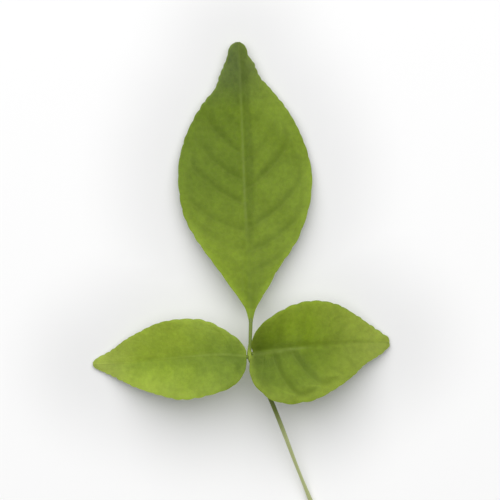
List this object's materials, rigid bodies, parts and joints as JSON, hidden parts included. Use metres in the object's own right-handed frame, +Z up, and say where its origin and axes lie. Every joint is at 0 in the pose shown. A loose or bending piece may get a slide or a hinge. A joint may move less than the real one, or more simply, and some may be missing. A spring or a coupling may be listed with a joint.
{
  "type": "bael leaf",
  "caption": "Picked compound leaf lying upper side up: a long terminal leaflet, a pair of shorter lateral leaflets and a slender petiole with a cut end.",
  "frame": {"origin": "middle of the leaf's footprint, on the surface that it lies on", "axes": "+Y from the petiole towards the terminal leaflet's tip, +X towards the lateral leaflet that is on the right seen from above, +Z up from the surface, through the leaf's upper side"},
  "size_m": [0.0744, 0.1188, 0.0136],
  "materials": {
    "leaf_blade": "smooth, slightly leathery fresh green blade with a soft waxy sheen, sunken side veins, a paler midrib and a paler underside",
    "leaf_stalk": "smooth green leaf stalk, paler towards its cut end, with a shallow channel along its upper side"
  },
  "bodies": {
    "root": {"terminal_leaflet": "leaf_blade", "left_leaflet": "leaf_blade", "right_leaflet": "leaf_blade", "petiole": "leaf_stalk"}
  },
  "joints": []
}
